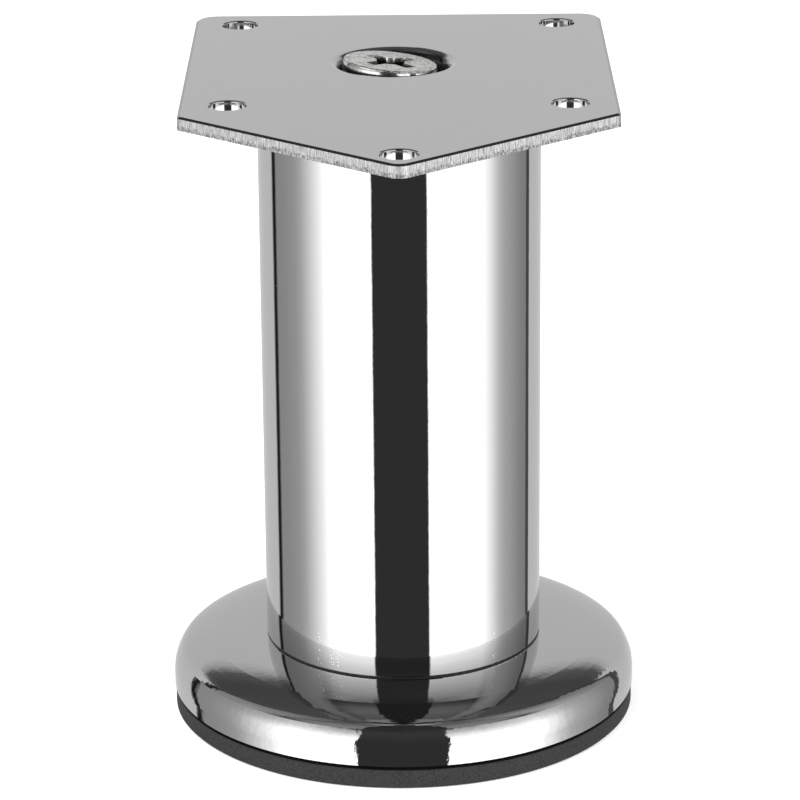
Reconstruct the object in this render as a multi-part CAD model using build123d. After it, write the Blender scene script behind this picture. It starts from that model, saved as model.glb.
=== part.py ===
from build123d import *
from math import cos, hypot, radians, sin
import os

# Furniture leg of chromed steel: a mounting plate screwed to a round tube, on a wide levelling foot.
# Millimetres, +Z up. The origin is on the floor, on the tube's axis. The plate's point faces -Y.

# Overall sizes
leg_height = 120.0
tube_diameter = 50.0
tube_wall = 1.2
tube_edge_radius = 0.2

# Clearances
running_clearance = 0.05
press_clearance = 0.05
free_clearance = 0.3
seat_gap = 0.3

# Mounting plate
plate_thickness = 2.3
plate_width = 73.9
plate_back_y = 36.6
plate_side_y = -36.4
plate_point_y = -68.0
back_corner_radius = 4.0
side_corner_radius = 1.2
point_radius = 2.6
plate_edge_break_width = 0.5
plate_edge_break_height = 0.3
hole_diameter = 6.35
hole_spacing_x = 57.6
hole_spacing_y = 58.0
point_hole_y = -60.8
hole_edge_roll = 0.35

# Plate screw, with its split lock washer, leaning as one in a crooked dimple
screw_lean = 5.8
screw_lean_back = 1.8
screw_head_x = -1.4
screw_head_y = 0.5
screw_head_rise = 0.1
screw_diameter = 8.0
screw_length = 22.0
head_diameter = 16.4
head_thickness = 0.9
head_edge_chamfer = 0.3
head_face_round = 0.25
neck_diameter = 9.6
neck_seat_gap = 0.1
recess_diameter = 10.2
recess_bottom_diameter = 2.4
recess_depth = 4.2
recess_wing_width = 2.3
recess_heart_diameter = 5.2
recess_turn = 45.0
screw_tip_chamfer = 1.0
lock_washer_diameter = 16.0
lock_washer_thickness = 2.0
lock_washer_gap = 1.1
lock_washer_gap_angle = -62.0
lock_washer_gap_slant = 25.0

# Dimple of the plate
dimple_floor_diameter = 18.2
dimple_mouth_diameter = 19.4
dimple_shift = 0.5
dimple_edge_roll = 1.9
screw_hole_clearance = 0.6

# Plug and nut in the tube's head
head_plug_height = 15.0
head_plug_web = 4.0
plug_skirt_wall = 2.2
head_boss_diameter = 27.0
head_nut_flats = 13.0
head_nut_height = 6.5
head_nut_depth = 13.0
nut_chamfer = 0.8
hexagon_sides = 6
nut_pocket_clearance = 0.1
rib_thickness = 2.0
plug_rib_count = 6

# Plug and nut in the tube's lower end
seam_height = 13.7
plug_rim_thickness = 0.2
plug_rim_step = 0.1
foot_plug_height = 20.5
foot_plug_web = 3.0
foot_boss_diameter = 25.0
foot_nut_flats = 17.0
foot_nut_height = 8.0

# Levelling stud, its jam nut and washer
stud_diameter = 10.0
foot_travel = 15.0
stud_spare_thread = 3.0
stud_tip_chamfer = 1.2
stud_head_diameter = 18.0
stud_head_thickness = 3.0
jam_nut_height = 5.0
jam_washer_diameter = 20.0
jam_washer_thickness = 2.0

# Foot: cover, core and pad
cover_diameter = 84.2
cover_sheet = 1.2
cover_dome_lean = 8.0
cover_shoulder_leans = (16.0, 25.0, 55.0, 90.0)
cover_shoulder_radii = (24.0, 12.0, 3.0, 7.2)
cover_lip_gap = 0.2
pad_inset = 0.2
pad_height = 4.1
pad_edge_chamfer = 0.5
pad_collar_height = 2.6
pad_collar_wall = 2.6
core_inset = 0.9
core_web = 2.0
core_hub_diameter = 26.0
core_rim_wall = 2.0
core_rib_count = 8

# Sizes worked out from the ones above
tube_radius = tube_diameter / 2
tube_bore_radius = tube_radius - tube_wall
plug_radius = tube_bore_radius - press_clearance
plate_underside = leg_height - plate_thickness
tube_bottom = seam_height + plug_rim_thickness
screw_radius = screw_diameter / 2
stud_radius = stud_diameter / 2
cover_radius = cover_diameter / 2
shoulder_turns = [
    (radians(start), radians(end), radius)
    for start, end, radius in zip(
        (cover_dome_lean, *cover_shoulder_leans), cover_shoulder_leans, cover_shoulder_radii
    )
]
cover_shoulder_start = cover_radius - sum(radius * (sin(end) - sin(start)) for start, end, radius in shoulder_turns)
cover_dome_radius = (cover_shoulder_start - tube_radius) / sin(radians(cover_dome_lean))
cover_dome_drop = cover_dome_radius * (1 - cos(radians(cover_dome_lean)))
core_radius = cover_shoulder_start - core_inset
pad_radius = cover_radius - pad_inset
pad_collar_radius = cover_radius - cover_sheet - free_clearance
cover_underside = seam_height - cover_sheet
core_shelf_top = cover_underside - cover_dome_drop - free_clearance
washer_top = seam_height + jam_washer_thickness
jam_nut_top = washer_top + jam_nut_height
foot_nut_seat = jam_nut_top + seat_gap + foot_plug_web
foot_nut_top = foot_nut_seat + foot_nut_height
stud_head_bottom = pad_height + seat_gap
stud_head_top = stud_head_bottom + stud_head_thickness
stud_top = foot_nut_top + foot_travel + stud_spare_thread

# The leaning screw's own frame: its zero is the middle of the head's face
screw_frame = Location(
    (screw_head_x, screw_head_y, leg_height + screw_head_rise), (-screw_lean_back, screw_lean, 0)
)
screw_whole_lean = hypot(screw_lean, screw_lean_back)
dimple_depth = head_thickness + lock_washer_thickness
dimple_under_depth = dimple_depth + plate_thickness
dimple_under_radius = dimple_floor_diameter / 2 + plate_thickness
dimple_reach = (
    dimple_under_depth * cos(radians(screw_whole_lean))
    + (dimple_under_radius + dimple_shift) * sin(radians(screw_whole_lean))
)
head_plug_top = leg_height + screw_head_rise - dimple_reach - seat_gap
head_plug_bottom = head_plug_top - head_plug_height


def disc(radius, bottom, top):
    """A round disc about the Z axis, between two heights."""
    return Pos(0, 0, bottom) * Cylinder(radius, top - bottom, align=(Align.CENTER, Align.CENTER, Align.MIN))


def ring(outer_radius, inner_radius, bottom, top):
    """A flat ring about the Z axis, between two heights."""
    return disc(outer_radius, bottom, top) - disc(inner_radius, bottom, top)


def hexagon(across_flats, bottom, top):
    """A hexagonal prism about the Z axis, between two heights."""
    outline = RegularPolygon(across_flats / 2, hexagon_sides, major_radius=False)
    return Pos(0, 0, bottom) * extrude(outline, top - bottom)


def hex_nut(across_flats, bore_radius, bottom, top):
    """A hexagonal nut with its corners turned off at both ends."""
    corner_radius = across_flats / 2 / cos(radians(180 / hexagon_sides))
    blank = disc(corner_radius, bottom, top)
    blank = chamfer(blank.edges().filter_by(GeomType.CIRCLE), nut_chamfer)
    return (blank & hexagon(across_flats, bottom, top)) - disc(bore_radius, bottom, top)


def radial_ribs(count, inner_radius, outer_radius, bottom, top):
    """Straight ribs that join a boss to a wall round it."""
    length = outer_radius - inner_radius
    rib = Pos(inner_radius, 0, bottom) * Box(
        length, rib_thickness, top - bottom, align=(Align.MIN, Align.CENTER, Align.MIN)
    )
    return [Rot(0, 0, turn * 360 / count) * rib for turn in range(count)]


def plate_outline():
    """The plate's outline: a square with a point in front."""
    half_width = plate_width / 2
    corners = Polyline(
        (-half_width, plate_back_y),
        (half_width, plate_back_y),
        (half_width, plate_side_y),
        (0, plate_point_y),
        (-half_width, plate_side_y),
        close=True,
    )
    outline = make_face(corners)
    by_depth = outline.vertices().sort_by(Axis.Y)
    outline = fillet(by_depth[-2:], back_corner_radius)
    point = outline.vertices().sort_by(Axis.Y)[0]
    outline = fillet(point, point_radius)
    sides = [corner for corner in outline.vertices() if abs(corner.Y - plate_side_y) < side_corner_radius]
    return fillet(sides, side_corner_radius)


def fixing_hole_places():
    """Centres of the five wood-screw holes: a rectangle, and one in the point."""
    rectangle = GridLocations(hole_spacing_x, hole_spacing_y, 2, 2)
    return [place.position for place in rectangle] + [Vector(0, point_hole_y, 0)]


def dimple_tool(floor_radius, mouth_radius, depth):
    """A tapered pocket about the leaning screw, carried on above the plate's face."""
    rise = plate_thickness
    slope = (mouth_radius - floor_radius) / depth
    pocket = Pos(dimple_shift, 0, -depth) * Cone(
        floor_radius, mouth_radius + slope * rise, depth + rise, align=(Align.CENTER, Align.CENTER, Align.MIN)
    )
    return screw_frame * pocket


def top_plate():
    """The pressed mounting plate, with its broken edges, fixing holes and dimple."""
    flat = Pos(0, 0, plate_underside) * extrude(plate_outline(), plate_thickness)
    face = flat.faces().sort_by(Axis.Z)[-1]
    flat = chamfer(face.edges(), plate_edge_break_width, plate_edge_break_height, reference=face)
    under_mouth_radius = dimple_mouth_diameter / 2 + plate_thickness
    under_cup = dimple_tool(dimple_under_radius, under_mouth_radius, dimple_under_depth)
    inside_sheet = Pos(0, 0, plate_underside + plate_thickness / 2) * Box(
        plate_width, plate_width, leg_height, align=(Align.CENTER, Align.CENTER, Align.MAX)
    )
    plate = flat + (under_cup & inside_sheet)
    plate -= dimple_tool(dimple_floor_diameter / 2, dimple_mouth_diameter / 2, dimple_depth)
    mouth = plate.faces().filter_by(GeomType.PLANE).sort_by(Axis.Z)[-1].inner_wires()[0]
    plate = fillet(mouth.edges(), dimple_edge_roll)
    for place in fixing_hole_places():
        plate -= Pos(place.X, place.Y, 0) * disc(hole_diameter / 2, 0, leg_height)
    rims = [
        edge
        for edge in plate.faces().filter_by(GeomType.PLANE).sort_by(Axis.Z)[-1].inner_wires().edges()
        if edge.geom_type == GeomType.CIRCLE and abs(edge.radius - hole_diameter / 2) < hole_edge_roll
    ]
    plate = fillet(rims, hole_edge_roll)
    return plate - screw_frame * disc(screw_radius + screw_hole_clearance, -screw_length, 0)


def plate_screw():
    """The screw that holds the plate: thin head with a cross recess, short neck, plain shank for the thread."""
    head = disc(head_diameter / 2, -head_thickness, 0)
    head = fillet(head.edges().sort_by(Axis.Z)[-1], head_face_round)
    head = chamfer(head.edges().sort_by(Axis.Z)[0], head_edge_chamfer)
    shank = disc(screw_radius, -head_thickness - screw_length, -head_thickness)
    shank = chamfer(shank.edges().sort_by(Axis.Z)[0], screw_tip_chamfer)
    neck_bottom = neck_seat_gap - head_thickness - lock_washer_thickness
    shank += disc(neck_diameter / 2, neck_bottom, -head_thickness)
    wing = Box(recess_diameter, recess_wing_width, recess_depth, align=(Align.CENTER, Align.CENTER, Align.MAX))
    sink = Rot(180, 0, 0) * Cone(
        recess_diameter / 2,
        recess_bottom_diameter / 2,
        recess_depth,
        align=(Align.CENTER, Align.CENTER, Align.MIN),
    )
    heart = Rot(180, 0, 0) * Cone(
        recess_heart_diameter / 2,
        recess_bottom_diameter / 2,
        recess_depth,
        align=(Align.CENTER, Align.CENTER, Align.MIN),
    )
    cross = (wing + Rot(0, 0, 90) * wing) & sink
    recess = Rot(0, 0, recess_turn) * (cross + heart)
    return screw_frame * ((head + shank) - recess)


def lock_washer():
    """The split spring washer under the screw's head, with its slanted gap."""
    washer = ring(
        lock_washer_diameter / 2,
        neck_diameter / 2 + running_clearance,
        -head_thickness - lock_washer_thickness,
        -head_thickness,
    )
    cutter = Rot(lock_washer_gap_slant, 0, 0) * Box(
        lock_washer_diameter,
        lock_washer_gap,
        lock_washer_diameter,
        align=(Align.MIN, Align.CENTER, Align.CENTER),
    )
    middle = -head_thickness - lock_washer_thickness / 2
    washer -= Pos(0, 0, middle) * Rot(0, 0, lock_washer_gap_angle) * cutter
    return screw_frame * washer


def tube():
    """The chromed round tube, with its outer edges eased."""
    pipe = ring(tube_radius, tube_bore_radius, tube_bottom, plate_underside)
    outer_rims = [
        edge
        for edge in pipe.edges().filter_by(GeomType.CIRCLE)
        if edge.radius > tube_radius - tube_wall / 2
    ]
    return fillet(outer_rims, tube_edge_radius)


def head_plug():
    """The moulded plug in the tube's head: web, skirt, ribs, and a boss that leans the nut with the screw."""
    boss_radius = head_boss_diameter / 2
    skirt_inner = plug_radius - plug_skirt_wall
    plug = ring(plug_radius, skirt_inner, head_plug_bottom, head_plug_top)
    plug += disc(plug_radius, head_plug_top - head_plug_web, head_plug_top)
    plug += disc(boss_radius, head_plug_bottom, head_plug_top)
    reach_in = rib_thickness / 2
    for rib in radial_ribs(
        plug_rib_count, boss_radius - reach_in, skirt_inner + reach_in, head_plug_bottom, head_plug_top
    ):
        plug += rib
    pocket_flats = head_nut_flats + 2 * nut_pocket_clearance
    plug -= screw_frame * hexagon(pocket_flats, -head_nut_depth - head_plug_height, -head_nut_depth)
    return plug - screw_frame * disc(screw_radius + running_clearance, -head_nut_depth, 0)


def head_nut():
    """The nut that the plate screw pulls on."""
    nut = hex_nut(
        head_nut_flats, screw_radius + running_clearance, -head_nut_depth - head_nut_height, -head_nut_depth
    )
    return screw_frame * nut


def foot_plug():
    """The moulded plug in the tube's lower end; its thin rim is the dark line at the seam."""
    boss_radius = foot_boss_diameter / 2
    skirt_inner = plug_radius - plug_skirt_wall
    top = seam_height + foot_plug_height
    plug = disc(tube_radius - plug_rim_step, seam_height, tube_bottom)
    plug += disc(plug_radius, tube_bottom, foot_nut_seat)
    plug += ring(plug_radius, skirt_inner, foot_nut_seat, top)
    plug += disc(boss_radius, foot_nut_seat, top)
    reach_in = rib_thickness / 2
    for rib in radial_ribs(plug_rib_count, boss_radius - reach_in, skirt_inner + reach_in, foot_nut_seat, top):
        plug += rib
    plug -= hexagon(foot_nut_flats + 2 * nut_pocket_clearance, foot_nut_seat, top)
    plug -= disc(jam_washer_diameter / 2 + free_clearance, seam_height, jam_nut_top + seat_gap)
    return plug - disc(stud_radius + free_clearance, seam_height, top)


def foot_nut():
    """The captive nut that the levelling stud turns in."""
    return hex_nut(foot_nut_flats, stud_radius + running_clearance, foot_nut_seat, foot_nut_top)


def foot_stud():
    """The levelling stud: a round head held in the core, and a long threaded shank."""
    head = disc(stud_head_diameter / 2, stud_head_bottom, stud_head_top)
    shank = disc(stud_radius, stud_head_top, stud_top)
    shank = chamfer(shank.edges().sort_by(Axis.Z)[-1], stud_tip_chamfer)
    return head + shank


def jam_washer():
    """The flat washer between the cover and the jam nut."""
    return ring(jam_washer_diameter / 2, stud_radius + free_clearance, seam_height, washer_top)


def jam_nut():
    """The thin nut that clamps the cover and the core to the stud's head."""
    return hex_nut(foot_nut_flats, stud_radius + running_clearance, washer_top, jam_nut_top)


def cover_skin(inset):
    """Half of the cover's section, moved in by an inset: flat, dome, the shoulder's arcs, then the skirt."""
    height = seam_height - inset
    place = (tube_radius, height)
    skin = [Line((stud_radius + free_clearance, height), place)]
    for start, end, radius in [(0, radians(cover_dome_lean), cover_dome_radius), *shoulder_turns]:
        reach = radius - inset
        next_place = (
            place[0] + reach * (sin(end) - sin(start)),
            place[1] - reach * (cos(start) - cos(end)),
        )
        skin.append(RadiusArc(place, next_place, reach))
        place = next_place
    return [*skin, Line(place, (place[0], pad_height + cover_lip_gap))]


def foot_cover():
    """The chrome cover: flat under the tube, then slightly domed, with a tighter shoulder and a short skirt."""
    outside = cover_skin(0)
    inside = cover_skin(cover_sheet)
    lip = Line(outside[-1] @ 1, inside[-1] @ 1)
    hole = Line(outside[0] @ 0, inside[0] @ 0)
    section = Wire([*outside, lip, *inside, hole])
    return revolve(Plane.XZ * make_face(section), Axis.Z)


def foot_core():
    """The moulded core that carries the cover on the pad: web, hub, rim and ribs."""
    hub_radius = core_hub_diameter / 2
    rim_inner = core_radius - core_rim_wall
    core = disc(core_radius, core_shelf_top - core_web, core_shelf_top)
    core += disc(tube_radius, core_shelf_top - core_web, cover_underside)
    core += ring(core_radius, rim_inner, pad_height, core_shelf_top)
    core += disc(hub_radius, pad_height, cover_underside)
    reach_in = rib_thickness / 2
    for rib in radial_ribs(core_rib_count, hub_radius - reach_in, rim_inner + reach_in, pad_height, core_shelf_top):
        core += rib
    core -= disc(stud_head_diameter / 2 + running_clearance, pad_height, stud_head_top)
    return core - disc(stud_radius + running_clearance, stud_head_top, cover_underside)


def foot_pad():
    """The black rubber pad, with a low collar that sits inside the cover's skirt."""
    sole = disc(pad_radius, 0, pad_height)
    sole = chamfer(sole.edges().sort_by(Axis.Z)[0], pad_edge_chamfer)
    collar_top = pad_height + pad_collar_height
    return sole + ring(pad_collar_radius, pad_collar_radius - pad_collar_wall, pad_height, collar_top)


nodes = {
    "top_plate": top_plate,
    "plate_screw": plate_screw,
    "lock_washer": lock_washer,
    "head_plug": head_plug,
    "head_nut": head_nut,
    "tube": tube,
    "foot_plug": foot_plug,
    "foot_nut": foot_nut,
    "foot_stud": foot_stud,
    "jam_washer": jam_washer,
    "jam_nut": jam_nut,
    "foot_cover": foot_cover,
    "foot_core": foot_core,
    "foot_pad": foot_pad,
}

os.makedirs("parts", exist_ok=True)
for name, make in nodes.items():
    export_step(make(), f"parts/{name}.step")
    print("made", name)
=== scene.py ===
import math

import bmesh
import bpy
from mathutils import Matrix, Vector


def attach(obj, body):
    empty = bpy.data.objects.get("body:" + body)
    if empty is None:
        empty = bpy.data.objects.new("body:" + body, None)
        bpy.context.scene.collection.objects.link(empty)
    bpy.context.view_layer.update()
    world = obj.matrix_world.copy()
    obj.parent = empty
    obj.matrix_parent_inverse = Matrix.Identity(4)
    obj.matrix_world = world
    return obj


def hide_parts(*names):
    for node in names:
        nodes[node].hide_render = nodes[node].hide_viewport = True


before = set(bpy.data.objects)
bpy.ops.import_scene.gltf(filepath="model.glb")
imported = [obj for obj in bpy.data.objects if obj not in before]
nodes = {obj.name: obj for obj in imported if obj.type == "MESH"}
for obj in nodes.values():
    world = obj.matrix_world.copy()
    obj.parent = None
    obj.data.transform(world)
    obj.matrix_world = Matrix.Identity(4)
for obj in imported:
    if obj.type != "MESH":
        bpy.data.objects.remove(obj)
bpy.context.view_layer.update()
mm = 0.001
weldGap = 0.002 * mm
print("frame loaded:", len(nodes), "nodes")

# the plate screw and its washer lean together in the dimple: the CAD puts the middle of the head's face here
screwPlace = {"middle": (-1.4, 0.5, 120.1), "lean": 5.8, "leanBack": 1.8}
screwMatrix = (
    Matrix.Translation(Vector(screwPlace["middle"]) * mm)
    @ Matrix.Rotation(math.radians(-screwPlace["leanBack"]), 4, "X")
    @ Matrix.Rotation(math.radians(screwPlace["lean"]), 4, "Y")
)


def linearColour(hexText):
    parts = [int(hexText[i:i + 2], 16) / 255 for i in (0, 2, 4)]
    return [c / 12.92 if c <= 0.04045 else ((c + 0.055) / 1.055) ** 2.4 for c in parts] + [1.0]


def addNode(tree, kind, values=None, **settings):
    # values: socket name or number to a plain value or to the socket that feeds it
    node = tree.nodes.new("ShaderNode" + kind)
    for name, value in settings.items():
        setattr(node, name, value)
    for socket, value in (values or {}).items():
        if isinstance(value, bpy.types.NodeSocket):
            tree.links.new(value, node.inputs[socket])
        else:
            node.inputs[socket].default_value = value
    return node


def fillRamp(node, stops, interpolation="LINEAR"):
    ramp = node.color_ramp
    ramp.interpolation = interpolation
    while len(ramp.elements) < len(stops):
        ramp.elements.new(0.5)
    for element, (position, colour) in zip(ramp.elements, stops):
        element.position = position
        element.color = colour if isinstance(colour, (list, tuple)) else (colour, colour, colour, 1)
    return node


def startMaterial(name):
    material = bpy.data.materials.new(name)
    material.use_nodes = True
    tree = material.node_tree
    tree.nodes.clear()
    return material, tree


def finishMaterial(tree, values):
    shader = addNode(tree, "BsdfPrincipled", values)
    addNode(tree, "OutputMaterial", {"Surface": shader.outputs[0]})


def grain(tree, coordinates, size, detail=2.0, roughness=0.5):
    # size is the width in mm of one light or dark patch
    noise = addNode(tree, "TexNoise", {"Vector": coordinates, "Scale": 1 / (size * mm)})
    noise.inputs["Detail"].default_value = detail
    noise.inputs["Roughness"].default_value = roughness
    return noise.outputs["Fac"]


def mapToScrew(tree, place):
    # coordinates from the middle of the screw's face, and the same with their height left out
    own = addNode(
        tree, "Mapping",
        {"Vector": place, "Location": screwMatrix.translation, "Rotation": tuple(screwMatrix.to_euler())},
        vector_type="TEXTURE",
    )
    around = addNode(tree, "VectorMath", {0: own.outputs[0], 1: (1, 1, 0)}, operation="MULTIPLY")
    return own.outputs[0], around.outputs[0]


# materials: each starts from what the piece is made of and how it was made


def polishedChrome(name, peel):
    # Bright decorative chrome, electroplated on buffed steel: a near mirror with a faint wave from the buffing
    # wheel, pin-sized pits, short upright rows of nodules low on the wall, and haze where it was wiped. peel is
    # the height in mm of the orange peel that a drawn sheet keeps, most where it turns down
    look = {
        "colour": "bcbcbc", "wave": 3.4, "ripple": 0.9, "haze": 0.018, "hazeWiped": 0.045,
        "peelSize": 1.1, "peelOnTop": 0.3, "topFacing": 0.95, "wallFacing": 0.7,
        "pits": 2.4, "pitCore": 0.025, "pitRim": 0.05, "pitShare": 0.06,
        "rows": (-15.0, -12.7, -11.6, 16.3), "rowHalf": 0.3, "rowBottom": 14.6, "rowTop": 20.6,
        "nodules": 0.55, "noduleCore": 0.2, "noduleRim": 0.34, "noduleGlint": "e2e2e2",
    }
    material, tree = startMaterial(name)
    coordinates = addNode(tree, "TexCoord")
    place = coordinates.outputs["Object"]
    wave = grain(tree, place, look["wave"], detail=1.0)
    ripple = grain(tree, place, look["ripple"], detail=2.0)
    orange = grain(tree, place, look["peelSize"], detail=2.0, roughness=0.35)
    cells = addNode(tree, "TexVoronoi", {"Vector": place, "Scale": 1 / (look["pits"] * mm)})
    pit = addNode(
        tree, "MapRange",
        {"Value": cells.outputs["Distance"], "From Min": look["pitCore"], "From Max": look["pitRim"]},
    )
    chance = addNode(tree, "SeparateColor", {"Color": cells.outputs["Color"]})
    unpitted = addNode(tree, "Math", {0: chance.outputs[0], 1: look["pitShare"]}, operation="GREATER_THAN")
    smooth = addNode(tree, "Math", {0: pit.outputs[0], 1: unpitted.outputs[0]}, operation="MAXIMUM")
    # the rows of nodules, each with a painted glint
    apart = addNode(tree, "SeparateXYZ", {0: place})
    nearest = None
    for row in look["rows"]:
        aside = addNode(tree, "Math", {0: apart.outputs["X"], 1: row * mm}, operation="SUBTRACT")
        away = addNode(tree, "Math", {0: aside.outputs[0]}, operation="ABSOLUTE")
        if nearest is not None:
            away = addNode(tree, "Math", {0: nearest.outputs[0], 1: away.outputs[0]}, operation="MINIMUM")
        nearest = away
    inRow = addNode(tree, "Math", {0: nearest.outputs[0], 1: look["rowHalf"] * mm}, operation="LESS_THAN")
    above = addNode(
        tree, "Math", {0: apart.outputs["Z"], 1: look["rowBottom"] * mm}, operation="GREATER_THAN"
    )
    below = addNode(tree, "Math", {0: apart.outputs["Z"], 1: look["rowTop"] * mm}, operation="LESS_THAN")
    low = addNode(tree, "Math", {0: above.outputs[0], 1: below.outputs[0]}, operation="MULTIPLY")
    rowMask = addNode(tree, "Math", {0: inRow.outputs[0], 1: low.outputs[0]}, operation="MULTIPLY")
    dots = addNode(tree, "TexVoronoi", {"Vector": place, "Scale": 1 / (look["nodules"] * mm)})
    dot = addNode(
        tree, "MapRange",
        {"Value": dots.outputs["Distance"], "From Min": look["noduleCore"], "From Max": look["noduleRim"],
         "To Min": 1.0, "To Max": 0.0},
    )
    rowDots = addNode(tree, "Math", {0: dot.outputs[0], 1: rowMask.outputs[0]}, operation="MULTIPLY")
    # painted highlight: the nodules are paler so that they read as glints
    colour = addNode(
        tree, "Mix",
        {"Factor": rowDots.outputs[0], "A": linearColour(look["colour"]), "B": linearColour(look["noduleGlint"])},
        data_type="RGBA",
    )
    relief = addNode(tree, "Math", {0: smooth.outputs[0], 1: rowDots.outputs[0]}, operation="ADD")
    haze = addNode(
        tree, "MapRange",
        {"Value": ripple, "From Min": 0.35, "From Max": 0.8,
         "To Min": look["haze"], "To Max": look["hazeWiped"]},
    )
    waved = addNode(tree, "Bump", {"Height": wave, "Strength": 0.10, "Distance": 0.05 * mm})
    rippled = addNode(
        tree, "Bump", {"Height": ripple, "Strength": 0.10, "Distance": 0.01 * mm, "Normal": waved.outputs[0]}
    )
    facing = addNode(tree, "SeparateXYZ", {0: coordinates.outputs["Normal"]})
    turned = addNode(
        tree, "MapRange",
        {"Value": facing.outputs["Z"], "From Min": look["topFacing"], "From Max": look["wallFacing"],
         "To Min": look["peelOnTop"], "To Max": 1.0},
    )
    peelHeight = addNode(tree, "Math", {0: orange, 1: turned.outputs[0]}, operation="MULTIPLY")
    peeled = addNode(
        tree, "Bump",
        {"Height": peelHeight.outputs[0], "Strength": 1.0, "Distance": peel * mm, "Normal": rippled.outputs[0]},
    )
    pitted = addNode(
        tree, "Bump",
        {"Height": relief.outputs[0], "Strength": 0.5, "Distance": 0.03 * mm, "Normal": peeled.outputs[0]},
    )
    finishMaterial(tree, {
        "Base Color": colour.outputs["Result"], "Metallic": 1.0, "Roughness": haze.outputs[0],
        "Normal": pitted.outputs[0],
    })
    return material


def platedSheet():
    # Bright chrome on cold-rolled steel sheet, blanked in a press: a smooth face with specks and hairlines,
    # darker where it turns down at its rim, with painted shade in the dimple. The sheared edge all round is
    # burnished and finely scored above, and torn and dark below
    look = {
        "face": "bcbcbc", "specks": 5.5, "hairs": 0.5,
        "lip": "8a8a8a", "lipFrom": 0.96, "lipTo": 0.92, "lipClear": 14.0,
        "score": 0.17, "scoreLight": "cccccc", "scoreDark": "969696",
        "tear": 0.24, "tearLight": "c0c0c0", "tearDark": "5e5e5e",
        "breakHeight": 118.4, "breakBlur": 0.12, "breakWander": 0.45, "breakSize": 1.1, "edgeRoughness": 0.36,
        "holeX": 28.8, "holeY": 29.0, "pointHoleY": -60.8, "holeZone": 3.7,
        "dimpleShade": "363636", "dimple": 10.6, "dimpleBlur": 0.6, "dimpleX": -0.8, "dimpleY": 2.0,
        "dimpleTop": 119.7, "dimpleDepth": 0.35,
    }
    material, tree = startMaterial("chromed steel sheet")
    coordinates = addNode(tree, "TexCoord")
    place = coordinates.outputs["Object"]
    height = addNode(tree, "SeparateXYZ", {0: place}).outputs["Z"]
    facing = addNode(tree, "SeparateXYZ", {0: coordinates.outputs["Normal"]})
    upright = addNode(tree, "Math", {0: facing.outputs["Z"]}, operation="ABSOLUTE")
    side = addNode(tree, "MapRange", {"Value": upright.outputs[0], "From Min": 0.35, "From Max": 0.15})
    # the walls of the punched holes stay bright
    flat = addNode(tree, "VectorMath", {0: place, 1: (1, 1, 0)}, operation="MULTIPLY")
    quarter = addNode(tree, "VectorMath", {0: flat.outputs[0]}, operation="ABSOLUTE")
    toCorner = addNode(
        tree, "VectorMath", {0: quarter.outputs[0], 1: (look["holeX"] * mm, look["holeY"] * mm, 0)},
        operation="DISTANCE",
    )
    toPoint = addNode(
        tree, "VectorMath", {0: flat.outputs[0], 1: (0, look["pointHoleY"] * mm, 0)}, operation="DISTANCE"
    )
    nearest = addNode(
        tree, "Math", {0: toCorner.outputs["Value"], 1: toPoint.outputs["Value"]}, operation="MINIMUM"
    )
    outside = addNode(
        tree, "Math", {0: nearest.outputs[0], 1: look["holeZone"] * mm}, operation="GREATER_THAN"
    )
    sheared = addNode(tree, "Math", {0: side.outputs[0], 1: outside.outputs[0]}, operation="MULTIPLY")
    # scoring: noise drawn out along the sheet's thickness
    drawnOut = addNode(tree, "Mapping", {"Vector": place, "Scale": (1, 1, 0.1)})
    score = grain(tree, drawnOut.outputs[0], look["score"], detail=3.0, roughness=0.6)
    scoreColour = fillRamp(
        addNode(tree, "ValToRGB", {"Fac": score}),
        [(0.38, linearColour(look["scoreDark"])), (0.6, linearColour(look["scoreLight"]))],
    )
    # tearing: coarser, broken up, in a lower zone whose upper limit wanders
    shortened = addNode(tree, "Mapping", {"Vector": place, "Scale": (1, 1, 0.4)})
    tear = grain(tree, shortened.outputs[0], look["tear"], detail=4.0, roughness=0.7)
    tearColour = fillRamp(
        addNode(tree, "ValToRGB", {"Fac": tear}),
        [(0.4, linearColour(look["tearDark"])), (0.6, linearColour(look["tearLight"]))],
    )
    wander = addNode(
        tree, "MapRange",
        {"Value": grain(tree, drawnOut.outputs[0], look["breakSize"], detail=3.0),
         "From Min": 0.25, "From Max": 0.75,
         "To Min": -look["breakWander"] * mm, "To Max": look["breakWander"] * mm},
    )
    wandered = addNode(tree, "Math", {0: height, 1: wander.outputs[0]})
    torn = addNode(
        tree, "MapRange",
        {"Value": wandered.outputs[0], "From Min": (look["breakHeight"] + look["breakBlur"]) * mm,
         "From Max": (look["breakHeight"] - look["breakBlur"]) * mm},
    )
    edgeColour = addNode(
        tree, "Mix", {"Factor": torn.outputs[0], "A": scoreColour.outputs[0], "B": tearColour.outputs[0]},
        data_type="RGBA",
    )
    edgeDepth = addNode(tree, "Mix", {"Factor": torn.outputs[0], "A": score, "B": tear}, data_type="FLOAT")
    specks = addNode(tree, "TexVoronoi", {"Vector": place, "Scale": 1 / (look["specks"] * mm)})
    speck = addNode(tree, "MapRange", {"Value": specks.outputs["Distance"], "From Min": 0.02, "From Max": 0.05})
    hairMap = addNode(tree, "Mapping", {"Vector": place, "Rotation": (0, 0, 0.5), "Scale": (0.03, 1, 1)})
    hair = addNode(
        tree, "MapRange",
        {"Value": grain(tree, hairMap.outputs[0], look["hairs"], detail=3.0),
         "From Min": 0.66, "From Max": 0.72, "To Min": 1.0, "To Max": 0.0},
    )
    marks = addNode(tree, "Math", {0: speck.outputs[0], 1: hair.outputs[0]}, operation="MINIMUM")
    cloud = addNode(
        tree, "MapRange",
        {"Value": grain(tree, place, 6.0, detail=5.0),
         "From Min": 0.3, "From Max": 0.7, "To Min": 0.06, "To Max": 0.11},
    )
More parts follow.
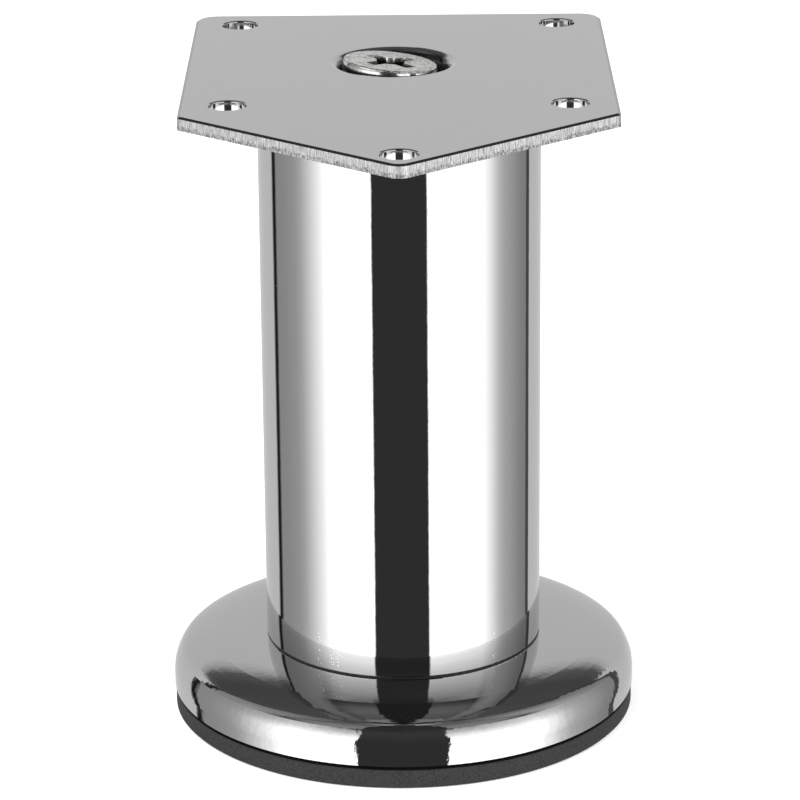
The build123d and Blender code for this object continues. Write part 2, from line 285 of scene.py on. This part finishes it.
    # the dimple round the screw is painted dark: painted shade in the hollow, for the dark it mirrors
    _, around = mapToScrew(tree, place)
    reach = addNode(
        tree, "VectorMath", {0: around, 1: (look["dimpleX"] * mm, look["dimpleY"] * mm, 0)},
        operation="DISTANCE",
    )
    near = addNode(
        tree, "MapRange",
        {"Value": reach.outputs["Value"], "From Min": (look["dimple"] + look["dimpleBlur"]) * mm,
         "From Max": look["dimple"] * mm},
    )
    sunk = addNode(
        tree, "MapRange",
        {"Value": height, "From Min": look["dimpleTop"] * mm,
         "From Max": (look["dimpleTop"] - look["dimpleDepth"]) * mm},
    )
    dimpleShadeMask = addNode(tree, "Math", {0: near.outputs[0], 1: sunk.outputs[0]}, operation="MULTIPLY")
    # the broken edge all round the face has lost some of its shine
    # the face is darker in colour where it starts to turn down into its edge, away from the dimple and the
    # holes
    offDimple = addNode(
        tree, "Math", {0: reach.outputs["Value"], 1: look["lipClear"] * mm}, operation="GREATER_THAN"
    )
    tipped = addNode(
        tree, "MapRange", {"Value": upright.outputs[0], "From Min": look["lipFrom"], "From Max": look["lipTo"]}
    )
    offHoles = addNode(tree, "Math", {0: offDimple.outputs[0], 1: outside.outputs[0]}, operation="MULTIPLY")
    lip = addNode(tree, "Math", {0: tipped.outputs[0], 1: offHoles.outputs[0]}, operation="MULTIPLY")
    lipped = addNode(
        tree, "Mix",
        {"Factor": lip.outputs[0], "A": linearColour(look["face"]), "B": linearColour(look["lip"])},
        data_type="RGBA",
    )
    faceColour = addNode(
        tree, "Mix",
        {"Factor": dimpleShadeMask.outputs[0], "A": lipped.outputs["Result"], "B": linearColour(look["dimpleShade"])},
        data_type="RGBA",
    )
    colour = addNode(
        tree, "Mix",
        {"Factor": sheared.outputs[0], "A": faceColour.outputs["Result"], "B": edgeColour.outputs["Result"]},
        data_type="RGBA",
    )
    roughness = addNode(
        tree, "Mix", {"Factor": sheared.outputs[0], "A": cloud.outputs[0], "B": look["edgeRoughness"]},
        data_type="FLOAT",
    )
    faceBump = addNode(tree, "Bump", {"Height": marks.outputs[0], "Strength": 0.35, "Distance": 0.02 * mm})
    depth = addNode(tree, "Math", {0: edgeDepth.outputs[0], 1: sheared.outputs[0]}, operation="MULTIPLY")
    edgeBump = addNode(
        tree, "Bump",
        {"Height": depth.outputs[0], "Strength": 0.8, "Distance": 0.12 * mm, "Normal": faceBump.outputs[0]},
    )
    finishMaterial(tree, {
        "Base Color": colour.outputs["Result"], "Metallic": 1.0, "Roughness": roughness.outputs[0],
        "Normal": edgeBump.outputs[0],
    })
    return material


def nickelForging():
    # Nickel plating on a cold-headed steel screw: a dull silver face, dimpled by the die and stained in blots,
    # with painted shade down in the recess
    look = {
        "light": "f4f4f2", "dark": "8f8f8c", "dimples": 0.55, "stain": "7c7c79", "stains": 1.3, "stained": 0.8,
        "recessShade": "4c4a47", "recessShadeTop": -0.22, "recessShadeBottom": -0.88, "recessShadeRadius": 5.0,
    }
    material, tree = startMaterial("nickel-plated forged steel")
    place = addNode(tree, "TexCoord").outputs["Object"]
    own, around = mapToScrew(tree, place)
    # painted shade: darker below the face and inside the recess's radius
    depth = addNode(tree, "SeparateXYZ", {0: own})
    below = addNode(
        tree, "MapRange",
        {"Value": depth.outputs["Z"], "From Min": look["recessShadeTop"] * mm, "From Max": look["recessShadeBottom"] * mm},
    )
    radius = addNode(tree, "VectorMath", {0: around}, operation="LENGTH")
    inRecess = addNode(
        tree, "Math", {0: radius.outputs["Value"], 1: look["recessShadeRadius"] * mm}, operation="LESS_THAN"
    )
    recessShade = addNode(tree, "Math", {0: below.outputs[0], 1: inRecess.outputs[0]}, operation="MULTIPLY")
    dimples = grain(tree, place, look["dimples"], detail=4.0, roughness=0.6)
    mottle = fillRamp(
        addNode(tree, "ValToRGB", {"Fac": dimples}),
        [(0.34, linearColour(look["dark"])), (0.56, linearColour(look["light"]))],
    )
    blot = addNode(
        tree, "MapRange",
        {"Value": grain(tree, place, look["stains"], detail=6.0, roughness=0.65),
         "From Min": 0.53, "From Max": 0.66, "To Max": look["stained"]},
    )
    stained = addNode(
        tree, "Mix", {"Factor": blot.outputs[0], "A": mottle.outputs[0], "B": linearColour(look["stain"])},
        data_type="RGBA",
    )
    colour = addNode(
        tree, "Mix",
        {"Factor": recessShade.outputs[0], "A": stained.outputs["Result"], "B": linearColour(look["recessShade"])},
        data_type="RGBA",
    )
    roughness = addNode(tree, "MapRange", {"Value": dimples, "To Min": 0.22, "To Max": 0.4})
    bump = addNode(tree, "Bump", {"Height": dimples, "Strength": 0.45, "Distance": 0.08 * mm})
    finishMaterial(tree, {
        "Base Color": colour.outputs["Result"], "Metallic": 1.0, "Roughness": roughness.outputs[0],
        "Normal": bump.outputs[0],
    })
    return material


def platedSteel(name, light, dark, size, roughness):
    # Thin electroplating on hard steel: bright, with the mill's fine grain showing through
    material, tree = startMaterial(name)
    place = addNode(tree, "TexCoord").outputs["Object"]
    fine = grain(tree, place, size, detail=4.0)
    mottle = fillRamp(
        addNode(tree, "ValToRGB", {"Fac": fine}), [(0.35, linearColour(dark)), (0.62, linearColour(light))]
    )
    rough = addNode(
        tree, "MapRange", {"Value": fine, "To Min": roughness * 0.7, "To Max": roughness * 1.3}
    )
    bump = addNode(tree, "Bump", {"Height": fine, "Strength": 0.3, "Distance": 0.04 * mm})
    finishMaterial(tree, {
        "Base Color": mottle.outputs[0], "Metallic": 1.0, "Roughness": rough.outputs[0],
        "Normal": bump.outputs[0],
    })
    return material


def mouldedNylon():
    # Black nylon, injection moulded in a spark-eroded mould: near black, satin, with a fine even texture
    look = {"dark": "161617", "light": "1f1f21", "spark": 0.22}
    material, tree = startMaterial("moulded black nylon")
    place = addNode(tree, "TexCoord").outputs["Object"]
    spark = grain(tree, place, look["spark"], detail=2.0)
    shade = fillRamp(
        addNode(tree, "ValToRGB", {"Fac": spark}),
        [(0.35, linearColour(look["dark"])), (0.65, linearColour(look["light"]))],
    )
    rough = addNode(tree, "MapRange", {"Value": spark, "To Min": 0.42, "To Max": 0.58})
    bump = addNode(tree, "Bump", {"Height": spark, "Strength": 0.25, "Distance": 0.03 * mm})
    finishMaterial(tree, {
        "Base Color": shade.outputs[0], "Roughness": rough.outputs[0], "IOR": 1.53, "Normal": bump.outputs[0],
    })
    return material


def mouldedRubber():
    # Black EVA rubber, compression moulded: matt charcoal with a fine speckle of grey
    look = {
        "dark": "191919", "light": "3e3e3e", "speckle": 0.3,
        "groove": "020202", "grooveBottom": 3.5, "grooveBlur": 0.08,
    }
    material, tree = startMaterial("moulded black rubber")
    place = addNode(tree, "TexCoord").outputs["Object"]
    speckle = grain(tree, place, look["speckle"], detail=5.0, roughness=0.7)
    shade = fillRamp(
        addNode(tree, "ValToRGB", {"Fac": speckle}),
        [(0.36, linearColour(look["dark"])), (0.7, linearColour(look["light"]))],
    )
    # the groove under the cover's lip is painted near black: painted shade, for the light that doesn't reach in
    # under the lip
    height = addNode(tree, "SeparateXYZ", {0: place}).outputs["Z"]
    inGroove = addNode(
        tree, "MapRange",
        {"Value": height, "From Min": look["grooveBottom"] * mm,
         "From Max": (look["grooveBottom"] + look["grooveBlur"]) * mm},
    )
    colour = addNode(
        tree, "Mix", {"Factor": inGroove.outputs[0], "A": shade.outputs[0], "B": linearColour(look["groove"])},
        data_type="RGBA",
    )
    roughness = addNode(tree, "MapRange", {"Value": inGroove.outputs[0], "To Min": 0.78, "To Max": 1.0})
    bump = addNode(tree, "Bump", {"Height": speckle, "Strength": 0.4, "Distance": 0.08 * mm})
    finishMaterial(tree, {
        "Base Color": colour.outputs["Result"], "Roughness": roughness.outputs[0], "IOR": 1.49,
        "Normal": bump.outputs[0],
    })
    return material


zinc = platedSteel("zinc-plated steel", "c2c6cb", "9da1a6", 0.5, 0.3)
spring = platedSteel("nickel-plated spring steel", "e0e0de", "b0b0ad", 0.35, 0.14)
nylon = mouldedNylon()
finishes = {
    "top_plate": platedSheet(),
    "plate_screw": nickelForging(),
    "lock_washer": spring,
    "head_plug": nylon,
    "head_nut": zinc,
    "tube": polishedChrome("polished chrome on tube", 0.0015),
    "foot_plug": nylon,
    "foot_nut": zinc,
    "foot_stud": zinc,
    "jam_washer": zinc,
    "jam_nut": zinc,
    "foot_cover": polishedChrome("polished chrome on drawn sheet", 0.02),
    "foot_core": nylon,
    "foot_pad": mouldedRubber(),
}
for name, finish in finishes.items():
    for slot in nodes[name].material_slots:
        slot.material = finish
print("materials made:", len(set(finishes.values())))


def makePiece(name, shape, node, body):
    # shape is a closed bmesh in the row frame; it takes the place and the finish of a CAD node
    bmesh.ops.remove_doubles(shape, verts=shape.verts, dist=weldGap)
    bmesh.ops.recalc_face_normals(shape, faces=shape.faces)
    mesh = bpy.data.meshes.new(name)
    shape.to_mesh(mesh)
    shape.free()
    mesh.materials.append(finishes[node])
    mesh.set_sharp_from_angle(angle=math.radians(40))
    piece = bpy.data.objects.new(name, mesh)
    bpy.context.scene.collection.objects.link(piece)
    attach(piece, body)
    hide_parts(node)


def chainOf(shape, points):
    # an open line of edges in the XZ plane, from (radius, height) pairs in mm
    corners = [shape.verts.new((radius * mm, 0, height * mm)) for radius, height in points]
    return corners, [shape.edges.new(pair) for pair in zip(corners, corners[1:])]


def levellingStud():
    # A stud with a rolled thread, pointed at the top, and a round head below
    look = {
        "radius": 5.0, "root": 4.1, "pitch": 1.5, "crest": 0.2, "bottom": 7.0, "top": 50.0, "point": 1.2,
        "steps": 40, "cutTolerance": 0.01,
        "headRadius": 9.0, "headBottom": 4.4, "headTop": 7.4, "headEdge": 0.4, "headSides": 96,
    }
    shape = bmesh.new()
    turns = math.ceil((look["top"] - look["bottom"]) / look["pitch"]) + 2
    start = look["bottom"] - look["pitch"]
    middle = look["pitch"] / 2
    corners, edges = chainOf(shape, [
        (look["root"], start),
        (look["radius"], start + middle - look["crest"] / 2),
        (look["radius"], start + middle + look["crest"] / 2),
        (look["root"], start + look["pitch"]),
    ])
    bmesh.ops.spin(
        shape, geom=corners + edges, cent=(0, 0, 0), axis=(0, 0, 1), angle=math.tau * turns,
        steps=look["steps"] * turns, dvec=(0, 0, look["pitch"] / look["steps"] * mm),
    )
    bmesh.ops.remove_doubles(shape, verts=shape.verts, dist=weldGap)
    for height, above in ((look["bottom"], False), (look["top"], True)):
        bmesh.ops.bisect_plane(
            shape, geom=shape.verts[:] + shape.edges[:] + shape.faces[:], plane_co=(0, 0, height * mm),
            plane_no=(0, 0, 1), clear_outer=above, clear_inner=not above,
        )
        rim = [edge for edge in shape.edges if edge.is_boundary
               and all(abs(v.co.z - height * mm) < look["cutTolerance"] * mm for v in edge.verts)]
        bmesh.ops.contextual_create(shape, geom=rim)
    # the turned point at the top
    for vertex in shape.verts:
        room = (look["top"] - look["point"]) * mm
        if vertex.co.z > room:
            limit = look["radius"] * mm - (vertex.co.z - room)
            reach = math.hypot(vertex.co.x, vertex.co.y)
            if reach > limit:
                vertex.co.x *= limit / reach
                vertex.co.y *= limit / reach
    bmesh.ops.recalc_face_normals(shape, faces=shape.faces)
    # the round head, held in the core
    head = bmesh.ops.create_cone(
        shape, cap_ends=True, segments=look["headSides"],
        radius1=look["headRadius"] * mm, radius2=look["headRadius"] * mm,
        depth=(look["headTop"] - look["headBottom"]) * mm,
        matrix=Matrix.Translation((0, 0, (look["headTop"] + look["headBottom"]) / 2 * mm)),
    )["verts"]
    rims = [edge for edge in {e for v in head for e in v.link_edges} if len(edge.link_faces) == 2
            and any(len(face.verts) > 4 for face in edge.link_faces)]
    bmesh.ops.bevel(
        shape, geom=rims, offset=look["headEdge"] * mm, offset_type="OFFSET", affect="EDGES", segments=3,
        profile=0.5, material=-1,
    )
    makePiece("levelling_stud", shape, "foot_stud", "stud")


def springWasher():
    # A square-section coil, its edges eased, cut through at a slant at the front right of the head. Its outer
    # edge is pinched up round the head's rim, so that it shows right under the face
    look = {
        "outer": 8.4, "inner": 4.9, "lip": 8.24, "lipTop": -0.32, "top": -0.92, "bottom": -2.88, "edge": 0.35,
        "gapAngle": -66, "gap": 8.0, "steps": 120, "slant": 0.9,
    }
    shape = bmesh.new()
    corners = [
        shape.verts.new((r * mm, 0, z * mm))
        for r, z in (
            (look["inner"], look["bottom"]), (look["outer"], look["bottom"]),
            (look["outer"], look["lipTop"] - look["edge"]), (look["lip"], look["lipTop"]),
            (look["lip"], look["top"]), (look["inner"], look["top"]),
        )
    ]
    shape.faces.new(corners)
    bmesh.ops.bevel(
        shape, geom=corners[:3], offset=look["edge"] * mm, offset_type="OFFSET", affect="VERTICES", segments=4,
        profile=0.5, material=-1,
    )
    bmesh.ops.spin(
        shape, geom=shape.verts[:] + shape.edges[:] + shape.faces[:], cent=(0, 0, 0), axis=(0, 0, 1),
        angle=math.radians(360 - look["gap"]), steps=look["steps"],
    )
    # the cut leans: the upper edge of each end stands further round than the lower one
    middle = (look["top"] + look["bottom"]) / 2 * mm
    for vertex in shape.verts:
        turn = (vertex.co.z - middle) / (look["top"] - look["bottom"]) / mm * look["slant"] / look["outer"]
        vertex.co = Matrix.Rotation(turn, 3, "Z") @ vertex.co
    start = math.radians(look["gapAngle"] + look["gap"] / 2)
    bmesh.ops.transform(shape, matrix=screwMatrix @ Matrix.Rotation(start, 4, "Z"), verts=shape.verts)
    makePiece("spring_washer", shape, "lock_washer", "leg")


def rubberPad():
    # The sole with its low collar. Its upper rim is stepped in, for the dark groove under the cover's lip
    look = {
        "radius": 41.9, "height": 4.1, "foot": 0.5, "round": 0.25, "shelf": 3.6, "groove": 40.9, "collar": 40.6,
        "collarWall": 2.6, "collarTop": 6.7, "roundSteps": 4, "steps": 180,
    }
    shape = bmesh.new()
    middle = look["radius"] - look["round"]
    shoulder = look["shelf"] - look["round"]
    arc = [math.pi / 2 * step / look["roundSteps"] for step in range(look["roundSteps"] + 1)]
    bmesh.ops.spin(
        shape,
        geom=sum(chainOf(shape, [
            (0, 0),
            (look["radius"] - look["foot"], 0),
            (look["radius"], look["foot"]),
            *[(middle + look["round"] * math.cos(turn), shoulder + look["round"] * math.sin(turn))
              for turn in arc],
            (look["groove"], look["shelf"]),
            (look["groove"], look["height"]),
            (look["collar"], look["height"]),
            (look["collar"], look["collarTop"]),
            (look["collar"] - look["collarWall"], look["collarTop"]),
            (look["collar"] - look["collarWall"], look["height"]),
            (0, look["height"]),
        ]), []),
        cent=(0, 0, 0), axis=(0, 0, 1), angle=math.tau, steps=look["steps"], use_merge=True,
    )
    makePiece("rubber_pad", shape, "foot_pad", "foot")


levellingStud()
springWasher()
rubberPad()
print("pieces made")


# studio


def cameraAtPhoto():
    look = {
        "place": (0.00041, -0.65945, 0.28361), "turn": (71.077, 0.454, -0.098), "lens": 174.108, "sensor": 36,
        "near": 0.05, "far": 20,
    }
    camera = bpy.data.objects.new("camera", bpy.data.cameras.new("camera"))
    bpy.context.scene.collection.objects.link(camera)
    camera.data.sensor_width = look["sensor"]
    camera.data.lens = look["lens"]
    camera.data.clip_start, camera.data.clip_end = look["near"], look["far"]
    camera.location = look["place"]
    camera.rotation_euler = [math.radians(angle) for angle in look["turn"]]
    bpy.context.scene.camera = camera


def addStage(name, shape, material):
    mesh = bpy.data.meshes.new(name)
    shape.to_mesh(mesh)
    shape.free()
    mesh.materials.append(material)
    item = bpy.data.objects.new(name, mesh)
    bpy.context.scene.collection.objects.link(item)
    return item


def seenDirectly(tree):
    # 1 for rays from the camera, off metal or through glass
    path = addNode(tree, "LightPath")
    shiny = addNode(
        tree, "Math", {0: path.outputs["Is Glossy Ray"], 1: path.outputs["Is Transmission Ray"]},
        operation="MAXIMUM",
    )
    return addNode(
        tree, "Math", {0: path.outputs["Is Camera Ray"], 1: shiny.outputs[0]}, operation="MAXIMUM"
    ).outputs[0]


def paleFloor():
    # White paper: the soft shadow shows, and the rest reads as white
    look = {"colour": "e8e8e8", "fibre": 0.8, "lift": 0.42, "half": 3.0, "drop": 0.05}
    material, tree = startMaterial("white paper")
    place = addNode(tree, "TexCoord").outputs["Object"]
    fibre = grain(tree, place, look["fibre"], detail=3.0)
    bump = addNode(tree, "Bump", {"Height": fibre, "Strength": 0.1, "Distance": 0.05 * mm})
    paper = addNode(tree, "BsdfDiffuse", {"Color": linearColour(look["colour"]), "Normal": bump.outputs[0]})
    strength = addNode(tree, "Math", {0: seenDirectly(tree), 1: look["lift"]}, operation="MULTIPLY")
    lift = addNode(tree, "Emission", {"Color": (1, 1, 1, 1), "Strength": strength.outputs[0]})
    both = addNode(tree, "AddShader", {0: paper.outputs[0], 1: lift.outputs[0]})
    addNode(tree, "OutputMaterial", {"Surface": both.outputs[0]})
    shape = bmesh.new()
    bmesh.ops.create_grid(
        shape, x_segments=1, y_segments=1, size=look["half"],
        matrix=Matrix.Translation((0, 0, -look["drop"] * mm)),
    )
    floor = addStage("floor", shape, material)
    floor.visible_glossy = False  # the chrome sees the tent all round instead, as on a raised glass table


def lightTent():
    # A light tent that only metal sees: white panels in front, a black slot for the camera between them, grey
    # sides, pale back panels with a dark gap at each edge, a dimmer floor and an unlit top. Angles are degrees,
    # round from the camera and up from level. "zones" says which walls are front, side or back, and "up" how
    # much of the light of each is left at that height. The slot widens to "slotTop" over "slotRise"
    look = {
        "radius": 3.0, "brightest": 2.6, "ceiling": 0.08,
        "slot": 0.045, "slotTop": 26.5, "slotBlur": 2.0, "slotRise": (35, 41),
        "walls": (
            (-180, 0.74), (-150, 0.76), (-128, 0.84), (-127.5, 0.38), (-126, 0.38), (-125.6, 0.02),
            (-121.2, 0.02), (-120.4, 0.42), (-108, 0.46), (-95, 0.55), (-88, 0.70), (-80, 1.05), (-70, 1.6),
            (-62, 2.2), (-55, 2.6), (-23.4, 2.6), (-22.9, 0.05),
            (21.5, 0.05), (22, 2.6), (68, 2.3), (75, 1.8), (80, 1.45), (85, 1.06), (90, 0.82), (95, 0.68),
            (115, 0.41), (124.5, 0.36), (125, 0.1), (129.5, 0.1), (130.2, 0.82), (150, 0.76), (180, 0.74),
        ),
        "zones": (
            (-180, (0, 0, 1, 1)), (-127, (0, 0, 1, 1)), (-126, (0, 1, 0, 1)), (-95, (0, 1, 0, 1)),
            (-75, (1, 0, 0, 1)), (75, (1, 0, 0, 1)), (95, (0, 1, 0, 1)), (125, (0, 1, 0, 1)),
            (126, (0, 0, 1, 1)),
        ),
        "up": (
            (-90, (0.4, 0.4, 0.4, 1)), (-60, (0.4, 0.4, 0.4, 1)), (-35, (1, 1, 1, 1)), (10, (1, 1, 1, 1)),
            (18, (0.79, 0.95, 1, 1)), (25, (0.59, 0.88, 1, 1)), (28, (0.50, 0.88, 1, 1)),
            (30, (0.45, 0.88, 0.8, 1)), (33, (0.36, 0.87, 0.1, 1)), (37, (0.22, 0.86, 0.03, 1)),
            (39, (0.02, 0.85, 0.02, 1)), (42, (0.02, 0.83, 0.02, 1)), (47, (0.10, 0.77, 0.03, 1)),
            (52, (0.12, 0.70, 0.03, 1)), (60, (0.09, 0.58, 0.05, 1)), (66, (0.07, 0.45, 0.04, 1)),
            (75, (0.04, 0.2, 0, 1)), (90, (0.02, 0, 0, 1)),
        ),
    }
    material, tree = startMaterial("light tent")
    place = addNode(tree, "TexCoord").outputs["Object"]
    turned = addNode(tree, "Mapping", {"Vector": place, "Rotation": (0, 0, math.radians(90))})
    around = addNode(tree, "TexGradient", {"Vector": turned.outputs[0]}, gradient_type="RADIAL")
    wall = fillRamp(
        addNode(tree, "ValToRGB", {"Fac": around.outputs["Fac"]}),
        [((angle + 180) / 360, bright / look["brightest"]) for angle, bright in look["walls"]],
    )
    zone = fillRamp(
        addNode(tree, "ValToRGB", {"Fac": around.outputs["Fac"]}),
        [((angle + 180) / 360, weights) for angle, weights in look["zones"]],
    )
    height = addNode(tree, "SeparateXYZ", {0: place}).outputs["Z"]
    sine = addNode(tree, "Math", {0: height, 1: look["radius"]}, operation="DIVIDE")
    rise = addNode(tree, "Math", {0: sine.outputs[0]}, operation="ARCSINE")
    share = addNode(
        tree, "MapRange", {"Value": rise.outputs[0], "From Min": -math.pi / 2, "From Max": math.pi / 2}
    )
    up = fillRamp(
        addNode(tree, "ValToRGB", {"Fac": share.outputs[0]}),
        [((angle + 90) / 180, weights) for angle, weights in look["up"]],
    )
    fade = addNode(tree, "VectorMath", {0: zone.outputs[0], 1: up.outputs[0]}, operation="DOT_PRODUCT")
    # the black slot is wider above the camera
    fromCamera = addNode(tree, "Math", {0: around.outputs["Fac"], 1: 0.5}, operation="SUBTRACT")
    offCamera = addNode(tree, "Math", {0: fromCamera.outputs[0]}, operation="ABSOLUTE")
    overSlot = addNode(
        tree, "MapRange",
        {"Value": offCamera.outputs[0], "From Min": (look["slotTop"] + look["slotBlur"]) / 360,
         "From Max": look["slotTop"] / 360},
    )
    lower, upper = [math.radians(angle) for angle in look["slotRise"]]
    overCamera = addNode(tree, "MapRange", {"Value": rise.outputs[0], "From Min": lower, "From Max": upper})
    black = addNode(tree, "Math", {0: overSlot.outputs[0], 1: overCamera.outputs[0]}, operation="MULTIPLY")
    ceiling = look["ceiling"] / look["brightest"]
    lit = addNode(
        tree, "Mix",
        {"Factor": fade.outputs["Value"], "A": (ceiling, ceiling, ceiling, 1), "B": wall.outputs[0]},
        data_type="RGBA",
    )
    slot = look["slot"] / look["brightest"]
    colour = addNode(
        tree, "Mix", {"Factor": black.outputs[0], "A": lit.outputs["Result"], "B": (slot, slot, slot, 1)},
        data_type="RGBA",
    )
    glow = addNode(tree, "Emission", {"Color": colour.outputs["Result"], "Strength": look["brightest"]})
    addNode(tree, "OutputMaterial", {"Surface": glow.outputs[0]})
    shape = bmesh.new()
    bmesh.ops.create_uvsphere(shape, u_segments=96, v_segments=48, radius=look["radius"])
    tent = addStage("light tent", shape, material)
    tent.visible_camera = False
    tent.visible_diffuse = False
    tent.visible_shadow = False
    tent.visible_volume_scatter = False


def studioLight():
    look = {
        "world": 0.62,
        "aim": (0, 0, 0.06),
        "lamps": (
            {"name": "key", "place": (-0.9, -0.8, 1.5), "size": 1.1, "power": 26},
            {"name": "fill", "place": (1.2, -0.5, 1.1), "size": 1.2, "power": 14},
        ),
    }
    world = bpy.data.worlds.new("studio")
    bpy.context.scene.world = world
    world.use_nodes = True
    tree = world.node_tree
    tree.nodes.clear()
    strength = addNode(
        tree, "Mix", {"Factor": seenDirectly(tree), "A": look["world"], "B": 1.0}, data_type="FLOAT"
    )
    sky = addNode(tree, "Background", {"Color": (1, 1, 1, 1), "Strength": strength.outputs[0]})
    addNode(tree, "OutputWorld", {"Surface": sky.outputs[0]})
    for lamp in look["lamps"]:
        light = bpy.data.lights.new(lamp["name"], "AREA")
        light.shape = "DISK"
        light.size = lamp["size"]
        light.energy = lamp["power"]
        item = bpy.data.objects.new(lamp["name"], light)
        bpy.context.scene.collection.objects.link(item)
        item.location = lamp["place"]
        toAim = Vector(look["aim"]) - item.location
        item.rotation_euler = toAim.to_track_quat("-Z", "Y").to_euler()
        item.visible_glossy = False  # metal sees the tent


cameraAtPhoto()
paleFloor()
lightTent()
studioLight()
bpy.context.scene.view_settings.view_transform = "Standard"
print("studio ready")
